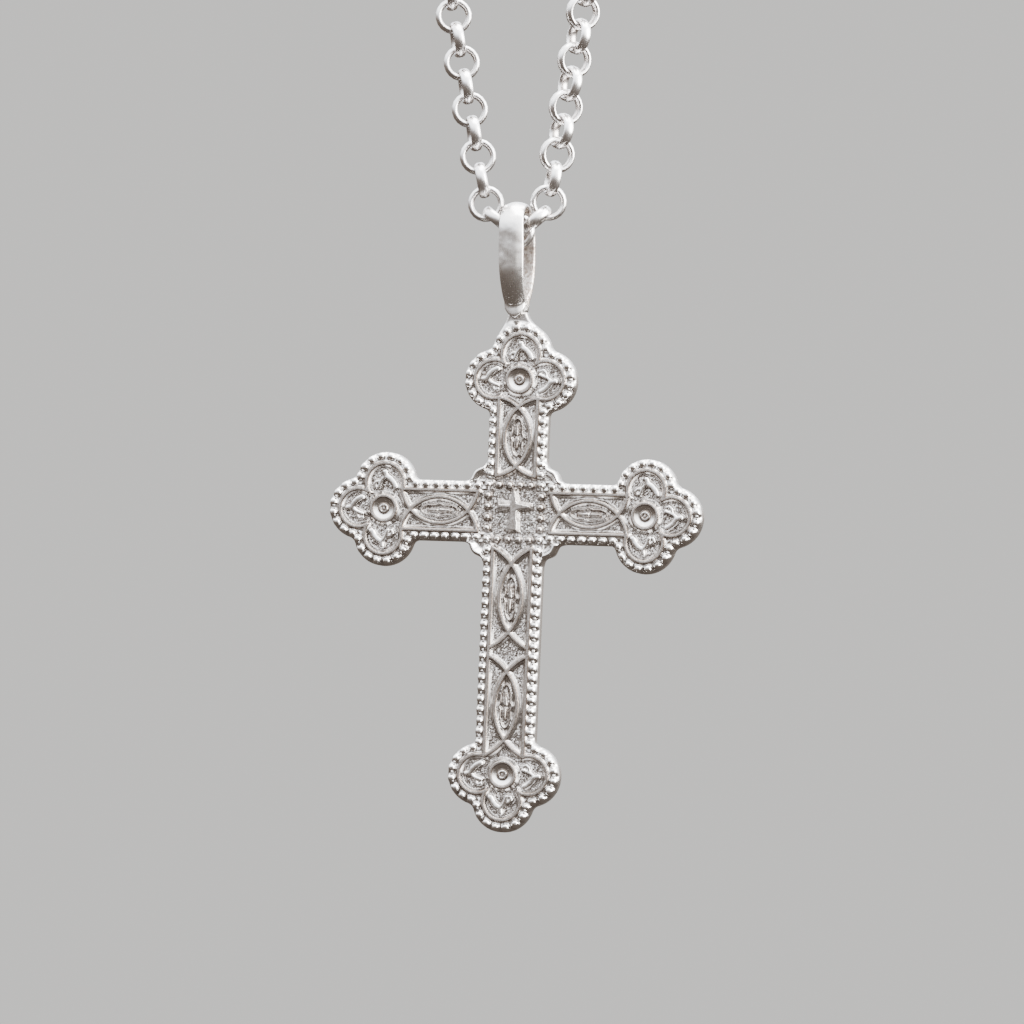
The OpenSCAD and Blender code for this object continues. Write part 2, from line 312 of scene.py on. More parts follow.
def make_tarnish_and_shade():
    """The group for tarnish and painted shade."""
    group, into, out = new_group(
        "tarnish_and_shade",
        [("Depth", "value", 0.0), ("Bright", "colour", (0.9, 0.88, 0.86, 1)),
         ("Dark", "colour", (0.3, 0.26, 0.23, 1)), ("Polish", "value", 0.2), ("Dull", "value", 0.45),
         ("Place", "vector", (0, 0, 0))],
        [("Colour", "colour"), ("Roughness", "value")],
    )
    given = into.outputs
    patches = noise_of(group, given["Place"], PATCH_SCALE, PATCH_DETAIL)
    uneven = math_of(group, "MULTIPLY_ADD", patches, UNEVENNESS, -UNEVENNESS / 2)
    deep = math_of(group, "ADD", given["Depth"], uneven, clamp=True)
    # The dark colour stands for tarnish, and where the mask holds painted shade, for shade as well.
    colour = mix_by(group, deep, given["Bright"], given["Dark"], "RGBA")
    rough = mix_by(group, deep, given["Polish"], given["Dull"], "FLOAT")
    group.links.new(colour, out.inputs["Colour"])
    group.links.new(rough, out.inputs["Roughness"])
    return group


TARNISH_AND_SHADE = make_tarnish_and_shade()

# %% [markdown]
# Grain is the sandy skin that a casting keeps where no tool reaches. One noise gives both its height and
# the dark pits between its grains, and a mask keeps it to the sunken ground.

# %% Grain
GRAIN_DETAIL, GRAIN_ROUGHNESS = 2.0, 0.6
PIT_START, PIT_FULL = 0.56, 0.42


def make_grain():
    """The grain group."""
    group, into, out = new_group(
        "grain", [("Place", "vector", (0, 0, 0)), ("Mask", "value", 1.0), ("Scale", "value", 9000)],
        [("Height", "value"), ("Pits", "value")],
    )
    noise = node_of(group, "ShaderNodeTexNoise", Detail=GRAIN_DETAIL, Roughness=GRAIN_ROUGHNESS)
    group.links.new(into.outputs["Place"], noise.inputs["Vector"])
    group.links.new(into.outputs["Scale"], noise.inputs["Scale"])
    pits = node_of(group, "ShaderNodeMapRange", From_Min=PIT_START, From_Max=PIT_FULL)
    group.links.new(noise.outputs["Fac"], pits.inputs["Value"])
    for label, socket in (("Height", noise.outputs["Fac"]), ("Pits", pits.outputs["Result"])):
        group.links.new(math_of(group, "MULTIPLY", socket, into.outputs["Mask"]), out.inputs[label])
    return group


GRAIN = make_grain()

# %% [markdown]
# Hairlines are the faint scratches of wear and of the polishing mop. They come from a noise that is
# stretched one way, and a slower noise smears them, so that no two places shine alike.

# %% Hairlines
HAIR_STRETCH, HAIR_TURN, HAIR_DETAIL, HAIR_ROUGHNESS = (9000, 9000, 500), (0.3, 0.5, 0.2), 3, 0.65
SMEAR_SCALE, SMEAR_DETAIL, SMEAR_ROUGHNESS = 700, 3, 0.6


def make_hairlines():
    """The hairlines group."""
    group, into, out = new_group(
        "hairlines", [("Place", "vector", (0, 0, 0)), ("Amount", "value", 0.05)],
        [("Roughness", "value"), ("Height", "value")],
    )
    stretch = node_of(group, "ShaderNodeMapping", Scale=HAIR_STRETCH, Rotation=HAIR_TURN)
    group.links.new(into.outputs["Place"], stretch.inputs["Vector"])
    lines = noise_of(group, stretch.outputs["Vector"], 1.0, HAIR_DETAIL, HAIR_ROUGHNESS)
    smears = noise_of(group, into.outputs["Place"], SMEAR_SCALE, SMEAR_DETAIL, SMEAR_ROUGHNESS)
    group.links.new(lines, out.inputs["Height"])
    mixed = math_of(group, "MULTIPLY", math_of(group, "ADD", lines, smears), into.outputs["Amount"])
    group.links.new(mixed, out.inputs["Roughness"])
    return group


HAIRLINES = make_hairlines()
print("groups", [g.name for g in bpy.data.node_groups])

# %% [markdown]
# The silvers differ in how far they were polished, so one function makes them all. Masks come from named
# attributes on each mesh, so the finish follows the shape: depth says how dark a place is, from patina
# and from painted shade, sandy where the casting skin stays, and wire how far the middle of the nearest
# wire is, in millimetres. From the last one comes a thin dark line of painted shade along each side of
# every wire, near its top.

# %% Masks and lines of painted shade
EDGE_LINE, EDGE_LINE_HALF, EDGE_LINE_CORE, SHADE_LINE_DARKNESS = 0.13, 0.075, 0.03, 0.9


def attribute_of(tree, name):
    """A value that each point of the mesh carries."""
    node = tree.nodes.new("ShaderNodeAttribute")
    node.attribute_name = name
    return node.outputs["Fac"]


def group_node(tree, group, place, **inputs):
    """A node group in a material, fed with a place."""
    node = tree.nodes.new("ShaderNodeGroup")
    node.node_tree = group
    tree.links.new(place, node.inputs["Place"])
    for name, value in inputs.items():
        node.inputs[name].default_value = value
    return node


def painted_shade_line_of(tree):
    """A dark line of painted shade along each side of a wire, near its top."""
    off_line = math_of(tree, "SUBTRACT", attribute_of(tree, "wire"), EDGE_LINE)
    line = node_of(tree, "ShaderNodeMapRange", From_Min=EDGE_LINE_HALF, From_Max=EDGE_LINE_CORE,
                   To_Max=SHADE_LINE_DARKNESS)
    tree.links.new(math_of(tree, "ABSOLUTE", off_line), line.inputs["Value"])
    return line.outputs["Result"]


# %% [markdown]
# A silver is put together from the groups. The masks go into the group for tarnish and painted shade,
# which gives the shader its colour and roughness. The scratches, the waves of hand polishing and the sand
# add up to one height, and a bump node turns that into small tilts of the surface.

# %% Silver
WAVE_SCALE, WAVE_DETAIL, WAVE_ROUGHNESS = 560, 2.0, 0.45
PIT_SHARE, LUMP_HEIGHT = 0.6, 1e-5


def silver(name, bright, dark, polish, dull, grain, grain_scale, hairline, bump, waves=0.0):
    """Silver whose tarnish and painted shade, grain and hairlines follow the attributes of its mesh."""
    material = bpy.data.materials.new(name)
    material.use_nodes = True
    tree = material.node_tree
    shader = tree.nodes["Principled BSDF"]
    shader.inputs["Metallic"].default_value = 1.0
    place = tree.nodes.new("ShaderNodeTexCoord").outputs["Object"]
    tarnish_and_shade = group_node(tree, TARNISH_AND_SHADE, place, Bright=(*bright, 1), Dark=(*dark, 1),
                         Polish=polish, Dull=dull)
    lines = group_node(tree, HAIRLINES, place, Amount=hairline)
    sand = group_node(tree, GRAIN, place, Scale=grain_scale)
    tree.links.new(attribute_of(tree, "sandy"), sand.inputs["Mask"])
    pitted = math_of(tree, "MULTIPLY_ADD", sand.outputs["Pits"], PIT_SHARE, attribute_of(tree, "depth"))
    # The lines of painted shade join the dark mask here.
    tree.links.new(math_of(tree, "ADD", pitted, painted_shade_line_of(tree)), tarnish_and_shade.inputs["Depth"])
    tree.links.new(tarnish_and_shade.outputs["Colour"], shader.inputs["Base Color"])
    rough = math_of(tree, "ADD", tarnish_and_shade.outputs["Roughness"], lines.outputs["Roughness"], clamp=True)
    tree.links.new(rough, shader.inputs["Roughness"])
    scratches = math_of(tree, "MULTIPLY", lines.outputs["Height"], bump)
    swell = noise_of(tree, place, WAVE_SCALE, WAVE_DETAIL, WAVE_ROUGHNESS)
    uneven = math_of(tree, "MULTIPLY_ADD", swell, waves, scratches)
    lumps = node_of(tree, "ShaderNodeBump", Strength=1.0, Distance=LUMP_HEIGHT)
    height = math_of(tree, "MULTIPLY_ADD", sand.outputs["Height"], grain, uneven)
    tree.links.new(height, lumps.inputs["Height"])
    tree.links.new(lumps.outputs["Normal"], shader.inputs["Normal"])
    return material


# %% [markdown]
# The face of the cross is cast and blackened, its high places rubbed bright. The bail's outside is
# polished by hand, a little wavy, and its inside keeps the casting skin. The chain and the clasp are
# bright all over, with a little tarnish inside the links, where no mop reaches.

# %% The four silvers
# On the cross's face the dark colour serves both the blackening and the painted shade.
CAST_SILVER = silver(
    "cast_silver", bright=(0.94, 0.92, 0.90), dark=(0.22, 0.17, 0.135), polish=0.17, dull=0.34,
    grain=1.2, grain_scale=9000, hairline=0.05, bump=0.05,
)
BAIL_SILVER = silver(
    "bail_silver", bright=(0.90, 0.88, 0.86), dark=(0.36, 0.29, 0.24), polish=0.17, dull=0.32,
    grain=5.0, grain_scale=4200, hairline=0.10, bump=0.12, waves=14.0,
)
CHAIN_SILVER = silver(
    "chain_silver", bright=(0.92, 0.90, 0.89), dark=(0.45, 0.38, 0.33), polish=0.20, dull=0.3,
    grain=0.4, grain_scale=6000, hairline=0.08, bump=0.03,
)
CLASP_SILVER = silver(
    "clasp_silver", bright=(0.92, 0.90, 0.89), dark=(0.45, 0.38, 0.33), polish=0.20, dull=0.3,
    grain=0.4, grain_scale=5000, hairline=0.08, bump=0.05,
)
print("materials", [m.name for m in bpy.data.materials])

# %% [markdown]
# Each limb of the cross ends in three lobes round a boss, and between the lobes and the crossing it
# carries one almond, or two on the long stem, made of two crossing arcs. The wires' places follow from a
# few measures, as the arcs must meet the straight wires at the same distance from the limb's middle.

# %% Measures of the limbs
WIRE_INSET, SIDE_WIRE_INSET, BEAD_INSET = 0.93, 0.84, 0.355
WIRE_LINE = HALF_LIMB - SIDE_WIRE_INSET
LOBE_WIRE_R = LOBE_R - WIRE_INSET
LOBE_CORNER = math.sqrt(LOBE_WIRE_R**2 - (LOBE_OFFSET - WIRE_LINE) ** 2)
OPEN_HALF = (LOBE_OFFSET + math.sqrt(2 * LOBE_WIRE_R**2 - LOBE_OFFSET**2)) / 2
SHORT_HALF, SHORT_BELLY, LONG_HALF, LONG_BELLY = 2.4, 1.07, 2.75, 0.94
STEM_START = 2.9


def almond_r(half, belly):
    """Radius of the arcs of an almond, from its half length and half width."""
    return (half * half + belly * belly) / (2 * belly)


def almond_reach(half, belly):
    """How far from the almond's middle its arcs meet the straight wires."""
    r = almond_r(half, belly)
    return math.sqrt(r**2 - (r - belly - WIRE_LINE) ** 2)


SHORT_REACH, LONG_REACH = almond_reach(SHORT_HALF, SHORT_BELLY), almond_reach(LONG_HALF, LONG_BELLY)
HEAD_CENTRES = [HEAD_REACH - LOBE_CORNER - SHORT_REACH]
ARM_CENTRES = [ARM_REACH - LOBE_CORNER - SHORT_REACH]
FOOT_CENTRES = [STEM_START + LONG_REACH, FOOT_REACH - LOBE_CORNER - LONG_REACH]
LIMBS = [  # turn, reach, centres of the almonds, their half length and half width
    (0, HEAD_REACH, HEAD_CENTRES, SHORT_HALF, SHORT_BELLY),
    (-90, ARM_REACH, ARM_CENTRES, SHORT_HALF, SHORT_BELLY),
    (90, ARM_REACH, ARM_CENTRES, SHORT_HALF, SHORT_BELLY),
    (180, FOOT_REACH, FOOT_CENTRES, LONG_HALF, LONG_BELLY),
]
LOBES = [(-90, LOBE_OFFSET, 0), (0, 0, LOBE_OFFSET), (90, -LOBE_OFFSET, 0)]  # turn, across, along
print(f"almonds reach {SHORT_REACH:.2f} and {LONG_REACH:.2f} mm along their limbs")

# %% [markdown]
# The face of the cross is one skin with hundreds of small forms on it: beads, wires, almonds, bosses and
# sprigs. They could be modelled one by one and fused, but a casting has no seams, so a height map by
# formula suits it better: a fine grid is laid over the face, each form adds its height, and the grid is
# lifted to it. The outline is a function too: how far in from the edge a point lies, from circles and
# bars, with a smooth maximum that rounds the inner corners as a mould does.

# %% Helpers for outlines
def limb_frame(u, v, degrees):
    """Coordinates in a limb turned up: across it, and along it outwards."""
    turn = math.radians(degrees)
    return u * math.cos(turn) + v * math.sin(turn), v * math.cos(turn) - u * math.sin(turn)


def merge(first, second, blend):
    """The larger of two distances, rounded where they are nearly equal."""
    near = np.maximum(blend - np.abs(first - second), 0) / blend
    return np.maximum(first, second) + near * near * blend / 4


def bump_at(x, width):
    """A smooth bump of height one at zero."""
    return np.exp(-((x / width) ** 2))


def lobe_distance(a, b, r, blend):
    """Distance in from the outline of three lobes of radius r round a boss at the origin."""
    found = None
    for _, across, along in LOBES:
        d = r - np.hypot(a - across, b - along)
        found = d if found is None else (merge(found, d, blend) if blend else np.maximum(found, d))
    return found


# %% [markdown]
# The outline joins two crossed bars, three lobes at each end, a leaf in each inner corner and the neck
# that the bail stands on. A leaf's edge runs aslant, with a small point in its middle and a shallow
# notch on each side of it.

# %% Outline of the cross
LIMB_BLEND, LEAF_BLEND, NECK_BLEND = 0.45, 0.3, 1.3
LEAF_POINT, LEAF_POINT_WIDTH = 0.16, 0.42
LEAF_NOTCH, LEAF_NOTCH_PLACE, LEAF_NOTCH_WIDTH = 0.08, 0.8, 0.3
LEAF_UNDER_LIMB = 0.6
NECK_HALF, NECK_MIDDLE, NECK_RISE = 0.75, -0.5, 0.85


def inside(u, v):
    """Distance in from the outline of the cross, positive inside."""
    arms = np.minimum(ARM_REACH - np.abs(u), HALF_LIMB - np.abs(v))
    stem = np.minimum(HALF_LIMB - np.abs(u), np.minimum(HEAD_REACH - v, FOOT_REACH + v))
    d = np.maximum(arms, stem)
    for turn, reach, *_ in LIMBS:
        a, b = limb_frame(u, v, turn)
        d = merge(d, lobe_distance(a, b - reach, LOBE_R, LIMB_BLEND), LIMB_BLEND)
    across = (np.abs(u) - np.abs(v)) / math.sqrt(2)
    edge = (2 * HALF_LIMB + LEAF_LEG - np.abs(u) - np.abs(v)) / math.sqrt(2)
    edge = edge + LEAF_POINT * bump_at(across, LEAF_POINT_WIDTH)
    edge = edge - LEAF_NOTCH * bump_at(np.abs(across) - LEAF_NOTCH_PLACE, LEAF_NOTCH_WIDTH)
    in_corner = np.minimum(np.abs(u), np.abs(v)) - HALF_LIMB + LEAF_UNDER_LIMB
    d = merge(d, np.minimum(edge, in_corner), LEAF_BLEND)
    neck = np.minimum(NECK_HALF - np.abs(u - NECK_MIDDLE), LOBE_TOP + NECK_RISE - v)
    return merge(d, np.minimum(neck, v - HEAD_REACH), NECK_BLEND)


print(f"the crossing lies {float(inside(0.0, 0.0)):.2f} mm in from the outline")

# %% [markdown]
# The relief is an array of heights over a fine grid. Each limb draws its own forms in its own turned
# frame, inside a window of the grid, and the tallest form at a point wins, as when wax wires are laid
# over each other.

# %% The grid of the relief
CELL = 0.069
FOOT_MARGIN, NECK_MARGIN = 0.14, 1.05
GRID_HALF_U = 15.6
GRID_LOW_V, GRID_HIGH_V = -FOOT_TIP - FOOT_MARGIN, LOBE_TOP + NECK_MARGIN
count_u = int(round(2 * GRID_HALF_U / CELL))
count_v = int(round((GRID_HIGH_V - GRID_LOW_V) / CELL))
line_u = -GRID_HALF_U + CELL * np.arange(count_u + 1)
line_v = GRID_LOW_V + CELL * np.arange(count_v + 1)
U, V = np.meshgrid(line_u, line_v)
relief = np.zeros_like(U)
print("drawing the relief on", U.shape, "points")


def window(u, v, half):
    """Slices of the grid round a point."""
    i = int(round((u + GRID_HALF_U) / CELL))
    j = int(round((v - GRID_LOW_V) / CELL))
    n = int(math.ceil(half / CELL))
    return slice(max(j - n, 0), j + n + 1), slice(max(i - n, 0), i + n + 1)


def spot_in_limb(turn, a, b):
    """A point of a limb's frame, in the frame of the cross."""
    t = math.radians(turn)
    return a * math.cos(t) - b * math.sin(t), a * math.sin(t) + b * math.cos(t)


# %% [markdown]
# A tool turns a distance from a line or a point into a height. A ridge has a flat top and straight
# flanks, a dome is a rounded form, and a pillow is a squarish bead.

# %% Tools of relief
PILLOW_REACH, PILLOW_POWER = 0.6, 2.1


def raise_to(part, tall):
    """Lifts a part of the grid to a height, where a form stands and is taller."""
    relief[part] = np.where(tall > 0, np.maximum(relief[part], tall), relief[part])


def ridge(distance, top, flank, tall):
    """Height of a ridge with a flat top and straight flanks."""
    return tall * np.clip((top + flank - distance) / flank, 0, 1)


def dome(distance, r, tall):
    """Height of a rounded form of half width r."""
    return tall * np.sqrt(np.clip(1 - (distance / r) ** 2, 0, 1))


def pillow(turn, u, v, half_across, half_along, tall):
    """A squarish bead at a point of the cross, its sides turned with the border."""
    part = window(u, v, PILLOW_REACH)
    x, y = limb_frame(U[part] - u, V[part] - v, turn)
    swell = (np.abs(x) / half_across) ** PILLOW_POWER + (np.abs(y) / half_along) ** PILLOW_POWER
    raise_to(part, tall * np.sqrt(np.clip(1 - swell, 0, 1)))


# %% [markdown]
# The border slopes up from the rim to a low shelf that carries the beads. Above the top lobe the metal
# runs on into a flat neck, where the bail is soldered.

# %% Border
RIM_HEIGHT, SHELF_HEIGHT, NECK_HEIGHT = -0.10, 0.17, -0.02
SHELF_IN, SHELF_DROP = 0.62, 0.12
NECK_START, NECK_RAMP = 0.1, 0.3
edge_distance = inside(U, V)
border = np.interp(edge_distance, [0, SHELF_IN, SHELF_IN + SHELF_DROP], [RIM_HEIGHT, SHELF_HEIGHT, 0])
relief += border
top_reach = np.hypot(U, V - HEAD_REACH - LOBE_OFFSET)
above_lobe = (top_reach > LOBE_R - SHELF_IN) & (V > HEAD_REACH + LOBE_OFFSET + 1)
relief[above_lobe & (edge_distance > SHELF_IN)] = SHELF_HEIGHT
on_neck = np.clip((V - LOBE_TOP + NECK_START) / NECK_RAMP, 0, 1)
relief += on_neck * (NECK_HEIGHT - relief)
print(f"outline holds {(edge_distance > 0).sum() * CELL**2:.0f} square mm")

# %% [markdown]
# The beads follow the lobes and the limbs' sides, and a square of them frames the crossing. Each border
# bead is a little uneven, from seeded random numbers, because the wax beads were pressed by hand.

# %% Beads
LOBE_BEADS, BEAD_PITCH, FIELD_HALF, FIELD_BEADS = 8, 0.88, 2.2, 6
BEAD_ACROSS, BEAD_ALONG, BEAD_HEIGHT, FIELD_BEAD = 0.385, 0.355, 0.42, 0.33
SIZE_SPREAD, HEIGHT_SHARE = 0.05, 0.03
dice = np.random.default_rng(11)


def border_bead(turn, u, v):
    """One bead of the border, a little uneven."""
    across, along, tall = 1 + SIZE_SPREAD * dice.standard_normal(3)
    tall = BEAD_HEIGHT * (1 - HEIGHT_SHARE + HEIGHT_SHARE * tall)
    pillow(turn, u, v, BEAD_ACROSS * across, BEAD_ALONG * along, tall)


for turn, reach, *_ in LIMBS:
    for lobe_turn, across, along in LOBES:
        for k in range(LOBE_BEADS):
            bearing = lobe_turn + 180 * (k + 0.5) / LOBE_BEADS
            x = across + (LOBE_R - BEAD_INSET) * math.cos(math.radians(bearing))
            y = reach + along + (LOBE_R - BEAD_INSET) * math.sin(math.radians(bearing))
            border_bead(turn + bearing - 90, *spot_in_limb(turn, x, y))
    run = reach - LOBE_OFFSET - FIELD_HALF
    count = round(run / BEAD_PITCH - 0.5)
    for side in (-1, 1):
        for k in range(1, count + 1):
            y = FIELD_HALF + k * run / (count + 0.5)
            border_bead(turn + 90, *spot_in_limb(turn, side * (HALF_LIMB - BEAD_INSET), y))
    for k in range(FIELD_BEADS - 1):
        x = -FIELD_HALF + k * 2 * FIELD_HALF / (FIELD_BEADS - 1)
        pillow(turn, *spot_in_limb(turn, x, FIELD_HALF), FIELD_BEAD, FIELD_BEAD, BEAD_HEIGHT)
print("beads up to", round(relief.max(), 3), "mm")

# %% [markdown]
# Each almond holds a little pointed frame of fine wire with a split bar in it. It is drawn from its half
# width along its length, and its slope is read from the grid, so that the wire stays equally thick.

# %% The little frames
FRAME_LENGTH, FRAME_HALF, FRAME_POWER = 0.63, 0.43, 3.2
FRAME_TOP, FRAME_FLANK, FRAME_HEIGHT = 0.03, 0.12, 0.27
EAR, EAR_WIDTH, WAIST, WAIST_PLACE, WAIST_WIDTH = 0.09, 0.17, 0.03, 0.45, 0.2
BAR_LENGTH, BAR_SPLIT, BAR_SPLIT_WIDTH, BAR_SPLIT_DEPTH = 0.68, 0.05, 0.06, 0.6
UPPER_BAR, LOWER_BAR, LOWER_POWER, BAR_HEIGHT = 0.17, 0.27, 0.6, 0.30


def cartouche(a, b, half):
    """The little frame inside an almond, pointed at its ends, with a split bar in it."""
    length = FRAME_LENGTH * half
    share = np.clip(np.abs(b) / length, 0, 1)
    wide = FRAME_HALF * np.sqrt(1 - share**FRAME_POWER) + EAR * bump_at(b, EAR_WIDTH)
    wide = wide - WAIST * bump_at(np.abs(b) - WAIST_PLACE, WAIST_WIDTH)
    slope = np.abs(np.gradient(wide, CELL, axis=0)) + np.abs(np.gradient(wide, CELL, axis=1))
    off = np.abs(np.abs(a) - wide) / np.sqrt(1 + np.minimum(slope, 4) ** 2)
    off = np.where(np.abs(b) > length, np.hypot(a, np.abs(b) - length), off)
    core = BAR_LENGTH * length
    taper = np.clip((core - np.abs(b)) / core, 0, 1)
    upper = UPPER_BAR * np.sqrt(np.clip(taper * 3, 0, 1))
    bar = np.where(b > BAR_SPLIT, upper, LOWER_BAR * taper**LOWER_POWER)
    heart = dome(a / np.maximum(bar, 1e-3), 1, BAR_HEIGHT) * (bar > 0.01)
    heart = heart * (1 - BAR_SPLIT_DEPTH * bump_at(b - BAR_SPLIT, BAR_SPLIT_WIDTH))
    return np.maximum(ridge(off, FRAME_TOP, FRAME_FLANK, FRAME_HEIGHT), heart)


# %% [markdown]
# The wires are one family of lines: two straight ones along each limb, the arcs of the almonds, and a
# ring in each lobe, open towards the boss. The distance from the nearest line is kept as a field of its
# own, because the material paints the dark lines of shade beside the wires from it.

# %% Wires
WIRE_HEIGHT, WIRE_TOP, WIRE_FLANK = 0.34, 0.10, 0.25
LIMB_END, WINDOW_MARGIN = 2.3, 3.2
wire_distance = np.ones_like(relief)
for turn, reach, centres, half, belly in LIMBS:
    half_way = (reach + LIMB_END) / 2
    part = window(*spot_in_limb(turn, 0, half_way), half_way + WINDOW_MARGIN)
    a, b = limb_frame(U[part], V[part], turn)
    low = centres[0] - almond_reach(half, belly)
    high = reach - LOBE_CORNER
    past = np.maximum(np.maximum(low - b, b - high), 0)
    wires = np.hypot(np.abs(a) - WIRE_LINE, past)
    r = almond_r(half, belly)
    over = np.maximum(np.abs(a) - WIRE_LINE, 0)
    for centre in centres:
        for side in (-1, 1):
            arc = np.abs(np.hypot(a - side * (r - belly), b - centre) - r)
            beyond = np.maximum(np.abs(b - centre) - almond_reach(half, belly), 0)
            wires = np.minimum(wires, np.hypot(np.hypot(arc, over), beyond))
        raise_to(part, np.where(np.abs(b - centre) < half, cartouche(a, b - centre, half), 0))
    ring = np.abs(lobe_distance(a, b - reach, LOBE_WIRE_R, 0))
    square = np.maximum(OPEN_HALF - np.maximum(np.abs(a), np.abs(b - reach)), 0)
    inner_end = np.where(b < reach, np.maximum(WIRE_LINE - np.abs(a), 0), 0)
    wires = np.minimum(wires, np.hypot(ring, np.maximum(2 * square, inner_end)))
    raise_to(part, ridge(wires, WIRE_TOP, WIRE_FLANK, WIRE_HEIGHT))
    wire_distance[part] = np.minimum(wire_distance[part], wires)
print("points on a wire", int((wire_distance < WIRE_TOP).sum()))

# %% [markdown]
# A boss is turned on a lathe in the master, so its height is a profile over the radius: a bead in the
# middle, a groove, a ring, a dish and a rim. The ring and the rim get the lines of painted shade as the
# wires do.

# %% Bosses
BOSS_R = [0, 0.10, 0.17, 0.22, 0.35, 0.41, 0.50, 0.90, 0.94, 1.10, 1.14, 1.44]
BOSS_H = [0.28, 0.28, 0.18, 0.33, 0.33, 0.19, 0.19, 0.40, 0.43, 0.43, 0.40, 0.0]
BOSS_RINGS = (0.29, 1.02)
BOSS_WINDOW = 1.6
for turn, reach, *_ in LIMBS:
    part = window(*spot_in_limb(turn, 0, reach), BOSS_WINDOW)
    a, b = limb_frame(U[part], V[part], turn)
    r = np.hypot(a, b - reach)
    raise_to(part, np.interp(r, BOSS_R, BOSS_H, right=0))
    for ring_r in BOSS_RINGS:
        wire_distance[part] = np.minimum(wire_distance[part], np.abs(r - ring_r))
print("bosses", len(LIMBS))

# %% [markdown]
# In each lobe lies a worn sprig. Its leaves are strokes through a few points, and the crest of a stroke
# lies to one side of it, so that most of the leaf faces the light, as on the old carving.

# %% Sprigs
SPRIG_STROKES = [  # points, half width, height
    ([(0.02, 0.86), (0.10, 0.50)], 0.28, 0.34),
    ([(0.10, 0.52), (0.46, 0.32), (0.74, 0.02), (0.90, -0.30)], 0.30, 0.34),
    ([(0.02, 0.50), (-0.22, 0.20), (-0.34, -0.10), (-0.44, -0.40)], 0.22, 0.32),
    ([(-0.34, 0.08), (-0.64, 0.06), (-0.84, -0.16), (-0.74, -0.40)], 0.20, 0.28),
]
CREST_SHIFT, CREST_WIDTH, STROKE_EDGE = 0.45, 1.45, 0.07
CREST_SIDE = (math.sqrt(0.5), math.sqrt(0.5))
LOBE_WINDOW = 1.3


def stroke_distance(x, y, points):
    """Distance from a line through a few points."""
    nearest = np.full_like(x, 9.0)
    for (x0, y0), (x1, y1) in zip(points, points[1:]):
        dx, dy = x1 - x0, y1 - y0
        along = np.clip(((x - x0) * dx + (y - y0) * dy) / (dx * dx + dy * dy), 0, 1)
        nearest = np.minimum(nearest, np.hypot(x - x0 - along * dx, y - y0 - along * dy))
    return nearest


def leaning_dome(x, y, points, r, tall, lean_x, lean_y):
    """A rounded stroke whose crest lies to one side of its middle."""
    shift = CREST_SHIFT * r
    crest = stroke_distance(x + shift * lean_x, y + shift * lean_y, points)
    edge = np.clip((r - stroke_distance(x, y, points)) / STROKE_EDGE, 0, 1)
    return edge * dome(crest, CREST_WIDTH * r, tall)


sprig_place = np.zeros_like(relief)
for turn, reach, *_ in LIMBS:
    for lobe_turn, across, along in LOBES:
        part = window(*spot_in_limb(turn, across, reach + along), LOBE_WINDOW)
        a, b = limb_frame(U[part], V[part], turn)
        x, y = limb_frame(a - across, b - reach - along, lobe_turn)
        lean = limb_frame(*limb_frame(*CREST_SIDE, turn), lobe_turn)
        for points, width, tall in SPRIG_STROKES:
            stroke = leaning_dome(x, y, points, width, tall, *lean)
            raise_to(part, stroke)
            sprig_place[part] += stroke
print("sprigs", len(LIMBS) * len(LOBES))

# %% [markdown]
# A small cross with tapered bars stands in the square at the crossing. Each bar has a flat top between
# two slopes, and its widths at the start and at the end make the taper.

# %% The small cross
SMALL_CROSS_RISE, SMALL_CROSS_HEIGHT, SMALL_CROSS_WINDOW = 0.45, 0.5, 2.4
BAR_END, BAR_START, LEAST_SLOPE_WIDTH = 0.18, -0.3, 0.05


def tapered_bar(along, across, reach, foot, top):
    """A bar from zero outwards; foot and top hold its half widths at its start and at its end."""
    share = np.clip(along / reach, 0, 1)
    half = foot[0] + (foot[1] - foot[0]) * share
    flat = top[0] + (top[1] - top[0]) * share
    slope = (half - np.abs(across)) / np.maximum(half - flat, LEAST_SLOPE_WIDTH)
    end = (reach - along) / BAR_END
    return SMALL_CROSS_HEIGHT * np.clip(np.minimum(slope, end), 0, 1) * (along > BAR_START)


part = window(0, 0, SMALL_CROSS_WINDOW)
u, v = U[part], V[part] - SMALL_CROSS_RISE
raise_to(part, tapered_bar(-v, u, 2.1, (0.45, 0.56), (0.22, 0.30)))
raise_to(part, tapered_bar(v, u, 1.5, (0.52, 0.22), (0.26, 0.0)))
raise_to(part, tapered_bar(-u, v, 1.42, (0.46, 0.52), (0.12, 0.10)))
raise_to(part, tapered_bar(u, v, 1.5, (0.50, 0.30), (0.28, 0.02)))
print("small cross", round(float(relief[part].max()), 3), "mm high")

# %% [markdown]
# The leaves in the four inner corners are scooped: high along their edge, low behind it, and they stop
# at the limbs' sides.

# %% The corner leaves
LEAF_EDGE = [0, 0.12, 0.27, 0.72, 2]
LEAF_HEIGHTS = [0.12, 0.44, 0.44, 0.05, 0.05]
LEAF_INNER, LEAF_RAMP = 0.08, 0.15
part = window(0, 0, HALF_LIMB + LEAF_LEG)
u, v = np.abs(U[part]) - HALF_LIMB, np.abs(V[part]) - HALF_LIMB
corner = np.minimum(u, v) + LEAF_INNER
scoop = np.interp(edge_distance[part], LEAF_EDGE, LEAF_HEIGHTS)
raise_to(part, scoop * np.clip(corner / LEAF_RAMP, 0, 1))
print("highest place", round(relief.max(), 3), "mm")

# %% [markdown]
# Now the relief is read for its masks. Creases are lower than the mean round them and hold dark patina,
# which also serves as painted shade in them. Corner lines are higher, along the edges of flat tops, and
# their darkening is painted shade. The ground that no form covers keeps its sand. All are worked out
# before the relief is softened a little, as wax edges are when metal fills the mould.

# %% Masks
CREASE_FULL, CORNER_FULL, GROUND_FULL = 0.10, 0.03, 0.08
CREASE_SHARE, TOP_EDGE_SHADE_SHARE, SAND_SHARE, NECK_SHADE_SHARE = 0.42, 0.75, 0.20, 0.5
GROUND_IN, CORNER_IN, WIRE_CLEAR = 0.7, 0.65, 0.2
SOFTENING = 0.2


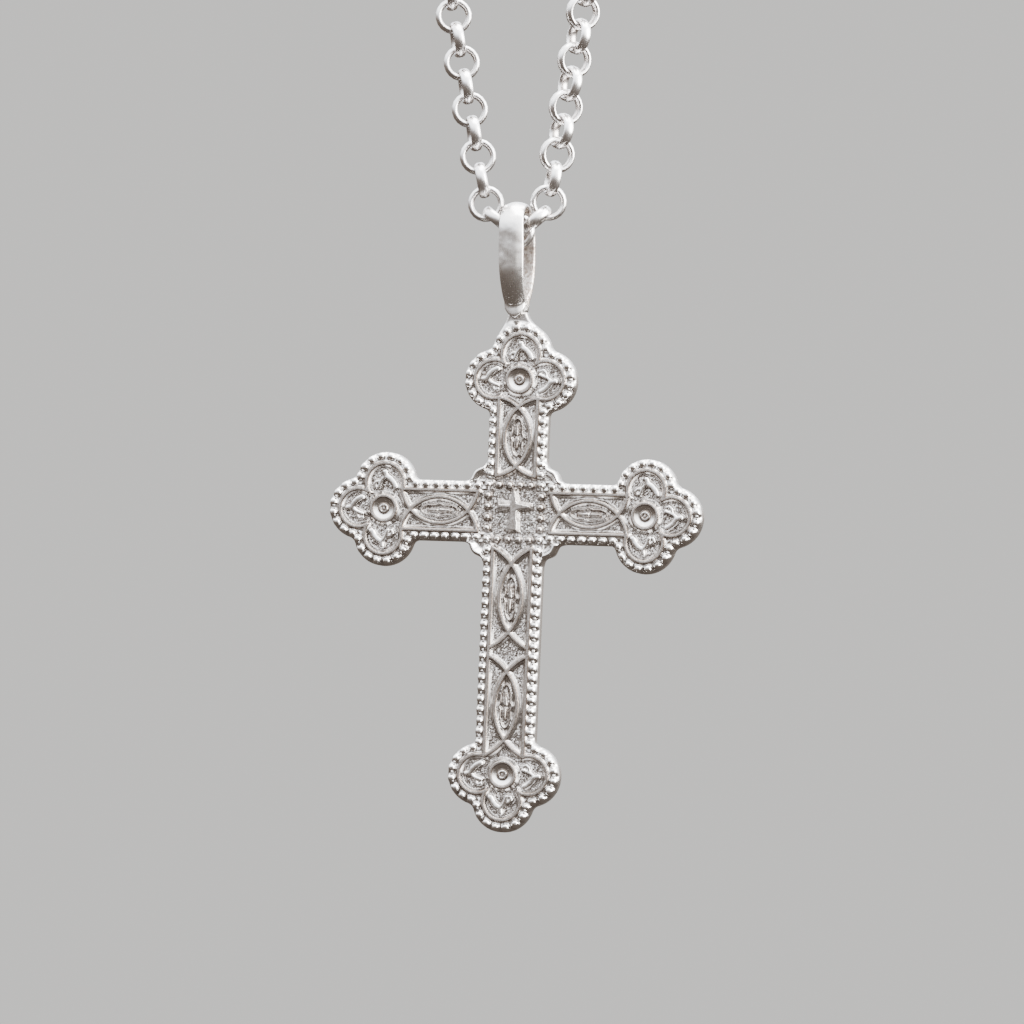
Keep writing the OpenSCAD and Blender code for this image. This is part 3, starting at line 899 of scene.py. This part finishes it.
def blur(field, reach):
    """The mean over a square of cells, from running sums."""
    for axis in (0, 1):
        first = np.repeat(np.take(field, [0], axis), reach + 1, axis)
        last = np.repeat(np.take(field, [-1], axis), reach, axis)
        sums = np.cumsum(np.concatenate([first, field, last], axis), axis)
        n = field.shape[axis]
        upper = np.take(sums, range(2 * reach + 1, 2 * reach + 1 + n), axis)
        field = (upper - np.take(sums, range(n), axis)) / (2 * reach + 1)
    return field


ground = np.clip(1 - relief / GROUND_FULL, 0, 1) * (edge_distance > GROUND_IN)
# Creases: dark patina in the hollows, which also stands for the shade that falls in them.
crease = np.clip((blur(relief, 2) - relief) / CREASE_FULL, 0, 1)
# Corner lines: painted shade along the edges of flat tops, kept away from wires and sprigs.
painted_top_edge_shade = np.clip((relief - blur(relief, 1)) / CORNER_FULL, 0, 1) * (edge_distance > CORNER_IN)
painted_top_edge_shade *= (sprig_place == 0) & (wire_distance > WIRE_CLEAR)
relief = (1 - SOFTENING) * relief + SOFTENING * blur(relief, 1)
sandy_field = blur(ground, 1)
patina_and_shade_field = np.clip(CREASE_SHARE * crease + TOP_EDGE_SHADE_SHARE * painted_top_edge_shade + SAND_SHARE * sandy_field, 0, 1)
# The neck under the bail's foot is darkened as well: painted shade where the foot overhangs it.
patina_and_shade_field = np.maximum(patina_and_shade_field, NECK_SHADE_SHARE * on_neck)
print(f"sandy ground on {sandy_field.mean():.1%} of the grid, mean depth {patina_and_shade_field.mean():.3f}")

# %% [markdown]
# A grid this fine is still coarse beside the wires, and plain smooth shading would wash their flanks out.
# So the direction of the surface is taken from the formula's own slopes: beside a flat place a point
# takes the flat side's slope, and on a flank the steeper one. Sand tilts it at random, and the same
# seeded dice lift single grains. The rim is rounded last.

# %% Slopes, sand and the rounded rim
FLAT_SLOPE = 0.3
SAND_TILT, TILT_EVERYWHERE, SAND_HEIGHT, HEIGHT_EVERYWHERE = 0.20, 0.1, 0.011, 0.08
EDGE_ROUND = 0.13


def crisp_slope(field, axis):
    """Slope along an axis: the flatter side's beside a flat place, and the steeper side's on a flank."""
    step = np.diff(field, axis=axis) / CELL
    before = np.insert(step, 0, 0, axis=axis)
    after = np.insert(step, step.shape[axis], 0, axis=axis)
    small = np.minimum(np.abs(before), np.abs(after))
    large = np.maximum(np.abs(before), np.abs(after))
    slope = np.where(small < FLAT_SLOPE, small, large)
    return np.where(before * after > 0, slope * np.sign(before), 0)


tilt = SAND_TILT * (TILT_EVERYWHERE + (1 - TILT_EVERYWHERE) * sandy_field)
slope_u, slope_v = (
    crisp_slope(relief, axis) + tilt * dice.standard_normal(relief.shape) for axis in (1, 0)
)
sand = dice.standard_normal(relief.shape)
relief += SAND_HEIGHT * sand * (HEIGHT_EVERYWHERE + (1 - HEIGHT_EVERYWHERE) * sandy_field)
near_edge = np.clip(1 - edge_distance / EDGE_ROUND, 0, 1)
relief -= EDGE_ROUND * (1 - np.sqrt(1 - near_edge**2))
print(f"relief from {relief[edge_distance > 0].min():.3f} to {relief.max():.3f} mm")

# %% [markdown]
# Now the skin itself. A grid with one quad a cell is cut back to the cells inside the outline, and its
# loose corners are drawn onto the outline along the slope of the distance.

# %% Cut the grid to the outline
SLOPE_STEP, DRAWING_ROUNDS = 0.02, 3


def slope_at(u, v):
    """Direction in which the distance from the edge grows."""
    du = inside(u + SLOPE_STEP, v) - inside(u - SLOPE_STEP, v)
    dv = inside(u, v + SLOPE_STEP) - inside(u, v - SLOPE_STEP)
    size = np.maximum(np.hypot(du, dv), 1e-9)
    return du / size, dv / size


def coordinates(verts):
    """The places of some vertices as an array."""
    return np.array([v.co for v in verts], float).reshape(-1, 3)


bm = bmesh.new()
bmesh.ops.create_grid(bm, x_segments=count_u, y_segments=count_v, size=0.5)
bmesh.ops.scale(bm, vec=(count_u * CELL, count_v * CELL, 1), verts=bm.verts)
bmesh.ops.translate(bm, vec=(0, (GRID_LOW_V + GRID_HIGH_V) / 2, 0), verts=bm.verts)
centres = np.array([f.calc_center_bounds() for f in bm.faces])
outside = inside(centres[:, 0], centres[:, 1]) < 0
bmesh.ops.delete(bm, geom=[f for f, out in zip(bm.faces, outside) if out], context="FACES")
on_grid = coordinates(bm.verts)
points = on_grid.copy()
on_rim = np.array([v.is_boundary for v in bm.verts])
for _ in range(DRAWING_ROUNDS):
    u, v = points[on_rim, 0], points[on_rim, 1]
    du, dv = slope_at(u, v)
    off = inside(u, v)
    points[on_rim, 0], points[on_rim, 1] = u - off * du, v - off * dv
print("cells kept", len(bm.faces))

# %% [markdown]
# Every vertex goes to its height and takes its masks along as attributes, and its direction too. The
# directions travel with the vertices, because the order of the vertices changes when the wall is made.

# %% Lift the grid
cell_u = np.rint((on_grid[:, 0] + GRID_HALF_U) / CELL).astype(int)
cell_v = np.rint((on_grid[:, 1] - GRID_LOW_V) / CELL).astype(int)
cells = (cell_v, cell_u)
heights = relief[cells]
heights[on_rim] = RIM_HEIGHT - EDGE_ROUND
face_normals = -np.stack([slope_u[cells], np.ones(len(heights)), slope_v[cells]], axis=1)
face_normals /= np.linalg.norm(face_normals, axis=1)[:, None]
face_normals[edge_distance[cells] < EDGE_ROUND + CELL] = 0
depth_layer = bm.verts.layers.float.new("depth")
sandy_layer = bm.verts.layers.float.new("sandy")
wire_layer = bm.verts.layers.float.new("wire")
normal_layer = bm.verts.layers.float_vector.new("relief_normal")
# The depth attribute carries the patina and the painted shade together.
depths, sandy, wire_at = patina_and_shade_field[cells], sandy_field[cells], wire_distance[cells]
for i, vert in enumerate(bm.verts):
    vert.co = (points[i, 0], GROUND_Y - heights[i], points[i, 1])
    vert[depth_layer], vert[sandy_layer], vert[wire_layer] = depths[i], sandy[i], wire_at[i]
    vert[normal_layer] = face_normals[i]
print("lifted", len(heights), "points")

# %% [markdown]
# The rim is extruded backwards ring by ring, for the wall, its rounded back edge and the first strip of
# the flat back, and one face closes the rest. The strip keeps the flat back from shading like a dome.

# %% Extrude the wall and close the back
WALL_RINGS = [  # depth, inset
    (-0.30, 0.0), (0.42, 0.0), (0.60, 0.05), (0.68, 0.14), (BACK_Y, 0.30), (BACK_Y, 0.36),
]
WALL_DEPTH, FAR_FROM_WIRES = 0.3, 1.0
rim = [e for e in bm.edges if e.is_boundary]
for y, inset in WALL_RINGS:
    made = bmesh.ops.extrude_edge_only(bm, edges=rim)["geom"]
    ring = [g for g in made if isinstance(g, bmesh.types.BMVert)]
    rim = [g for g in made if isinstance(g, bmesh.types.BMEdge)]
    base = coordinates(ring)
    off = inset - inside(base[:, 0], base[:, 2])
    du, dv = slope_at(base[:, 0], base[:, 2])
    for i, vert in enumerate(ring):
        vert.co = (base[i, 0] + off[i] * du[i], y, base[i, 2] + off[i] * dv[i])
        vert[depth_layer], vert[wire_layer] = WALL_DEPTH, FAR_FROM_WIRES
        vert[normal_layer] = (0, 0, 0)
bmesh.ops.edgeloop_fill(bm, edges=[e for e in bm.edges if e.is_boundary])
bmesh.ops.recalc_face_normals(bm, faces=bm.faces)
print("rings in the wall", len(WALL_RINGS))

# %% [markdown]
# Every piece ends the same way: it is scaled to metres, turned and moved in its mesh, so that its object
# stays at the origin, and then it rides on its body, and the parts of the frame that it replaces are
# hidden. On the cross, the carried directions become the shading normals, turned with the cross; a zero
# leaves a point's own normal.

# %% The casting
def finish_piece(name, bm, material, body, nodes, place=CROSSING, tilt=0.0):
    """Scales a bmesh drawn in millimetres, moves it to its place and hands it to the frame."""
    bmesh.ops.scale(bm, vec=(MM,) * 3, verts=bm.verts)
    bmesh.ops.rotate(bm, matrix=Matrix.Rotation(tilt, 3, "Y"), verts=bm.verts)
    bmesh.ops.translate(bm, vec=place, verts=bm.verts)
    for face in bm.faces:
        face.smooth = True
    piece = new_object(name, bm)
    piece.data.materials.append(material)
    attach(piece, body)
    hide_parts(*nodes)
    print(name, len(piece.data.polygons), "faces")
    return piece


cross = finish_piece("cross_casting", bm, CAST_SILVER, "pendant", ["cross_pendant"],
                     tilt=HANG_TILT)
carried = np.empty(3 * len(cross.data.vertices))
cross.data.attributes["relief_normal"].data.foreach_get("vector", carried)
turned = carried.reshape(-1, 3) @ np.array(Matrix.Rotation(HANG_TILT, 3, "Y")).T
cross.data.normals_split_custom_set_from_vertices(turned.tolist())
print("normals from the relief on", int(np.any(turned, axis=1).sum()), "points of the face")

# %% [markdown]
# The bail is a strap bent to a long loop. Its section is slightly domed outside, with crisp edges, and
# flat inside. The loop is given by stations, each a point inside and a point outside: the solder and the
# facet at the foot, the sides that swell upwards, and the round top.

# %% The bail's stations
BAIL_HALF_DEPTH, STRAP_T, STRAP_W = 2.4, 0.6, 2.04
PIVOT_RISE = BAIL_TOP - BAIL_HALF_DEPTH
SHOULDER_Z = PIVOT_RISE - 2.4
FOOT_Z, FOOT_HALF_DEPTH = LOBE_TOP + 1.5, 1.25
FACET_Z = FOOT_Z - 1
HOLLOW_Z, HOLLOW_HALF = FOOT_Z + 0.6, 0.42
SIDE_LEVELS, SIDE_START_OUT, SIDE_START_IN = 14, 0.25, 0.30
TOP_ARCS = 9


def loop_side(z, half_depth, narrow, low):
    """Half depth of the loop at a height below its round top."""
    if z > SHOULDER_Z:
        return half_depth
    fall = SHOULDER_Z - low
    side_r = ((half_depth - narrow) ** 2 + fall**2) / (2 * (half_depth - narrow))
    return half_depth - side_r + math.sqrt(side_r**2 - (SHOULDER_Z - z) ** 2)


def bail_stations():
    """Pairs of an inside and an outside point (y, z), from the foot up the front to the top's middle."""
    inner_half = BAIL_HALF_DEPTH - STRAP_T
    yield (0.0, HOLLOW_Z), (0.0, LOBE_TOP - 0.2)
    yield (-0.12, HOLLOW_Z), (-0.30, LOBE_TOP - 0.15)
    yield (-0.22, HOLLOW_Z + 0.02), (-0.42, LOBE_TOP + 0.05)
    yield (-0.28, HOLLOW_Z + 0.04), (-0.46, FACET_Z - 0.2)
    yield (-0.32, HOLLOW_Z + 0.06), (-1.05, FACET_Z - 0.06)
    yield (-0.35, HOLLOW_Z + 0.09), (-1.16, FACET_Z + 0.04)
    yield (-0.38, HOLLOW_Z + 0.12), (-1.08, FOOT_Z - 0.14)
    yield (-0.42, HOLLOW_Z + 0.16), (-1.24, FOOT_Z - 0.06)
    yield (-0.46, HOLLOW_Z + 0.20), (-1.30, FOOT_Z + 0.04)
    for k in range(SIDE_LEVELS):
        z_out = FOOT_Z + SIDE_START_OUT + (PIVOT_RISE - FOOT_Z - SIDE_START_OUT) * k / SIDE_LEVELS
        z_in = HOLLOW_Z + SIDE_START_IN + (PIVOT_RISE - HOLLOW_Z - SIDE_START_IN) * k / SIDE_LEVELS
        yield ((-loop_side(z_in, inner_half, HOLLOW_HALF, HOLLOW_Z), z_in),
               (-loop_side(z_out, BAIL_HALF_DEPTH, FOOT_HALF_DEPTH, FOOT_Z), z_out))
    for k in range(TOP_ARCS + 1):
        turn = math.pi / 2 * k / TOP_ARCS
        y, z = -math.cos(turn), math.sin(turn)
        yield ((inner_half * y, PIVOT_RISE + inner_half * z),
               (BAIL_HALF_DEPTH * y, PIVOT_RISE + BAIL_HALF_DEPTH * z))


front = list(bail_stations())
back = [((-i[0], i[1]), (-o[0], o[1])) for i, o in reversed(front[1:-1])]
print("stations round the bail", len(front + back))

# %% [markdown]
# The strap starts as one ring of points at the foot. The ring is extruded from station to station up the
# front, over the top and down the back, until the last ring is bridged to the first. Inside, the points
# are shaken a little and marked deep and sandy, since that side is left as cast, and a subdivision
# surface rounds the whole.

# %% Bail
BELLY_R, BELLY_Z = 60, LOBE_TOP + 5.9
FOOT_NARROWING, NARROW_BELOW = 0.7, FACET_Z - 0.1
SECTION = [  # share of the half width, share of the thickness from the inside out
    (0, 1.0), (0.30, 0.96), (0.60, 0.85), (0.84, 0.70), (0.96, 0.60), (1.0, 0.52), (1.0, 0.30),
    (0.96, 0.10), (0.84, 0.02), (0.45, 0.0), (0, 0.0),
]
AROUND = SECTION + [(-x, t) for x, t in reversed(SECTION[1:-1])]
SHAKEN_BELOW, CAST_BELOW, SHAKE, INSIDE_DEPTH = 0.15, 0.4, 0.022, 0.35


def section_points(inner, outer):
    """The strap's section at a station, once round."""
    z_mid = (inner[1] + outer[1]) / 2
    half = STRAP_W / 2 - BELLY_R + math.sqrt(BELLY_R**2 - (z_mid - BELLY_Z) ** 2)
    half *= FOOT_NARROWING if outer[1] < NARROW_BELOW else 1
    return [(x * half, inner[0] + t * (outer[0] - inner[0]), inner[1] + t * (outer[1] - inner[1]))
            for x, t in AROUND]


bm = bmesh.new()
depth_layer = bm.verts.layers.float.new("depth")
sandy_layer = bm.verts.layers.float.new("sandy")
bmesh.ops.create_circle(bm, segments=len(AROUND), radius=1)
first_edges, ring = list(bm.edges), list(bm.verts)
ring_edges = first_edges
shaking = np.random.default_rng(5)
for number, (inner, outer) in enumerate(front + back):
    if number:
        made = bmesh.ops.extrude_edge_only(bm, edges=ring_edges)["geom"]
        ring_edges = [g for g in made if isinstance(g, bmesh.types.BMEdge)]
        fresh = {g for g in made if isinstance(g, bmesh.types.BMVert)}
        ring = [next(e.other_vert(v) for e in v.link_edges if e.other_vert(v) in fresh) for v in ring]
    for vert, spot, (_, outwards) in zip(ring, section_points(inner, outer), AROUND):
        shaken = shaking.normal(0, SHAKE, 3) if outwards < SHAKEN_BELOW else (0, 0, 0)
        vert.co = Vector(spot) + Vector(shaken)
        vert[depth_layer] = INSIDE_DEPTH if outwards < CAST_BELOW else 0.0
        vert[sandy_layer] = 1.0 if outwards < CAST_BELOW else 0.0
bmesh.ops.bridge_loops(bm, edges=first_edges + ring_edges)
bmesh.ops.recalc_face_normals(bm, faces=bm.faces)
bail = finish_piece("bail", bm, BAIL_SILVER, "pendant", ["cross_pendant"])


def refine(piece, levels):
    """Smooths a cage with a subdivision surface, the same in view and render."""
    modifier = piece.modifiers.new("refine", "SUBSURF")
    modifier.levels = modifier.render_levels = levels


refine(bail, 2)

# %% [markdown]
# The chain has over two hundred links, so one link is a ring of eighty faces that a subdivision surface
# rounds. It is spun once from its section, a band with rounded edges that is narrower inside. The cage
# is drawn a little large, because a subdivision surface shrinks into its cage.

# %% One link
LINK_IN, LINK_SIDES = 1.06, 10
CAGE_GROWTH = 3 / (2 + math.cos(2 * math.pi / LINK_SIDES))
BAND_SECTION = [
    (-0.07, -0.14), (0.02, -0.36), (0.20, -0.49), (0.44, -0.25),
    (0.44, 0.25), (0.20, 0.49), (0.02, 0.36), (-0.07, 0.14),
]
INNER_SIDE, INNER_DEPTH = 0.02, 0.5


def ring_of(section, radius, sides, growth=1.0):
    """A bmesh ring: a closed section, spun round Z."""
    bm = bmesh.new()
    depth = bm.verts.layers.float.new("depth")
    bmesh.ops.create_circle(bm, segments=len(section), radius=1)
    for vert, (x, z) in zip(bm.verts, section):
        vert.co = ((radius + x) * growth, 0, z)
        vert[depth] = INNER_DEPTH if x < INNER_SIDE else 0.0
    geometry = list(bm.verts) + list(bm.edges)
    bmesh.ops.spin(bm, geom=geometry, cent=(0, 0, 0), axis=(0, 0, 1), dvec=(0, 0, 0),
                   angle=2 * math.pi, steps=sides, use_merge=True, use_duplicate=False)
    bmesh.ops.remove_doubles(bm, verts=bm.verts, dist=1e-4)
    bmesh.ops.recalc_face_normals(bm, faces=bm.faces)
    return bm


link_bm = ring_of(BAND_SECTION, LINK_IN, LINK_SIDES, CAGE_GROWTH)
link_mesh = bpy.data.meshes.new("one_link")
link_bm.to_mesh(link_mesh)
link_bm.free()
print("one link", len(link_mesh.polygons), "faces")

# %% [markdown]
# The strands follow the path that the construction uses: two links beside the bail, a leaning straight,
# and one arc over the top to the clasp. Neighbouring links stand at right angles, and each strand turns
# about itself over its first few links, so that the two strands are seen from different sides.

# %% The strands' path
LINK_PITCH, STRAND_LINKS, LEAN = 1.95, 111, 10.3
LEFT_TURN, RIGHT_TURN, TURNING_LINKS = 20, 42, 5
SECOND, SECOND_TURN, THIRD = (1.577, 0.914), 39.6, (2.6, 2.3)
CLASP_R, CLASP_WIRE_R, EYE_R, EYE_WIRE_R = 2.3, 0.5, 1.0, 0.35
EYE_X, CLASP_REACH, CLASP_SIDE_STEP = CLASP_R + 0.25 + EYE_R, CLASP_R + 1.58, 1.15
lean = math.radians(LEAN)
half_run = STRAND_LINKS * LINK_PITCH + CLASP_REACH
turn_sum = math.pi / 2 + lean
straight_run = (half_run - THIRD[0] / math.cos(lean) * turn_sum) / (1 + math.tan(lean) * turn_sum)
arc_r = (THIRD[0] + straight_run * math.sin(lean)) / math.cos(lean)
arc_z = THIRD[1] + straight_run * math.cos(lean) + arc_r * math.sin(lean)
pivot = Vector((0, 0, cross_high.z - BAIL_HALF_DEPTH * MM))


def run_place(s):
    """Place and direction, in degrees, of the strand at a distance past the third link."""
    if s < straight_run:
        return (THIRD[0] + s * math.sin(lean), THIRD[1] + s * math.cos(lean)), 90 - LEAN
    turn = (s - straight_run) / arc_r - lean
    return (arc_r * math.cos(turn), arc_z + arc_r * math.sin(turn)), 90 + math.degrees(turn)


def link_placement(place, angle, turn):
    """Puts a link in the page at a place, along an angle, turned about the strand."""
    return (
        Matrix.Translation((place[0], 0, place[1]))
        @ Matrix.Rotation(math.radians(-angle), 4, "Y")
        @ Matrix.Rotation(math.radians(90 + turn), 4, "X")
    )


def strand_placements(strand_turn):
    """The links of a strand that turns about itself over its first few links, and back over the last."""
    yield link_placement(SECOND, SECOND_TURN, 90 + strand_turn / TURNING_LINKS)
    for i in range(STRAND_LINKS + 1):
        place, angle = run_place(i * LINK_PITCH)
        turn = strand_turn * min(1, (i + 2) / TURNING_LINKS, (STRAND_LINKS - i) / TURNING_LINKS)
        yield link_placement(place, angle, turn + (0 if i % 2 == 0 else 90))


print(f"each strand runs {straight_run:.1f} mm straight, then over an arc of {arc_r:.1f} mm")

# %% [markdown]
# A strand is one piece: the link is copied into one bmesh again and again, each copy put in its place.
# The left strand is the mirror of the right one and has the link inside the bail as well. A mirror turns
# a shape inside out, so the faces are turned outwards again.

# %% Two strands of links
def chain_piece(name, placements, node):
    """One strand of links as a piece."""
    bm = bmesh.new()
    for placement in placements:
        start = len(bm.verts)
        bm.from_mesh(link_mesh)
        bm.verts.ensure_lookup_table()
        bmesh.ops.transform(bm, matrix=placement, verts=bm.verts[start:])
    bmesh.ops.recalc_face_normals(bm, faces=bm.faces)
    piece = finish_piece(name, bm, CHAIN_SILVER, "chain", [node], place=pivot)
    refine(piece, 1)
    return piece


flip = Matrix.Scale(-1, 4, (1, 0, 0))
right = list(strand_placements(RIGHT_TURN))
left = [link_placement((0, 0), 0, 0)] + [flip @ m for m in strand_placements(-LEFT_TURN)]
chain_piece("chain_right_links", right, "chain_right")
chain_piece("chain_left_links", left, "chain_left")

# %% [markdown]
# The photograph does not reach the clasp, so it is finished plainly: a ring with an eye soldered to its
# side. Two rings are spun from round sections, and a union makes them one skin.

# %% Clasp
RING_SECTION_SIDES, RING_STEPS = 14, 48


def round_section(r, sides):
    """Points of a circle."""
    turns = [2 * math.pi * k / sides for k in range(sides)]
    return [(r * math.cos(t), r * math.sin(t)) for t in turns]


def clasp_ring(radius, wire, across):
    """A round ring in the clasp's place."""
    bm = ring_of(round_section(wire, RING_SECTION_SIDES), radius, RING_STEPS)
    bmesh.ops.translate(bm, vec=(across, 0, 0), verts=bm.verts)
    bmesh.ops.rotate(bm, matrix=Matrix.Rotation(math.radians(90), 3, "X"), verts=bm.verts)
    bmesh.ops.translate(bm, vec=(-CLASP_SIDE_STEP, 0, CLASP_R + CLASP_WIRE_R), verts=bm.verts)
    return bm


clasp = finish_piece("clasp_ring", clasp_ring(CLASP_R, CLASP_WIRE_R, 0), CLASP_SILVER, "chain",
                     ["clasp"], place=Vector((0, 0, 0)))
eye_bm = clasp_ring(EYE_R, EYE_WIRE_R, EYE_X)
bmesh.ops.scale(eye_bm, vec=(MM,) * 3, verts=eye_bm.verts)
eye = new_object("eye", eye_bm)
join = clasp.modifiers.new("join", "BOOLEAN")
join.operation, join.solver, join.object = "UNION", "EXACT", eye
bpy.context.view_layer.update()
joined = bpy.data.meshes.new_from_object(clasp.evaluated_get(bpy.context.evaluated_depsgraph_get()))
clasp.modifiers.clear()
clasp.data = joined
bpy.data.objects.remove(eye)
for polygon in clasp.data.polygons:
    polygon.use_smooth = True
print("clasp", len(clasp.data.polygons), "faces")

# %% [markdown]
# Last, the box of the construction is printed.

# %% The frame's box
print("frame", [tuple(round(x, 5) for x in c) for c in frame_box])
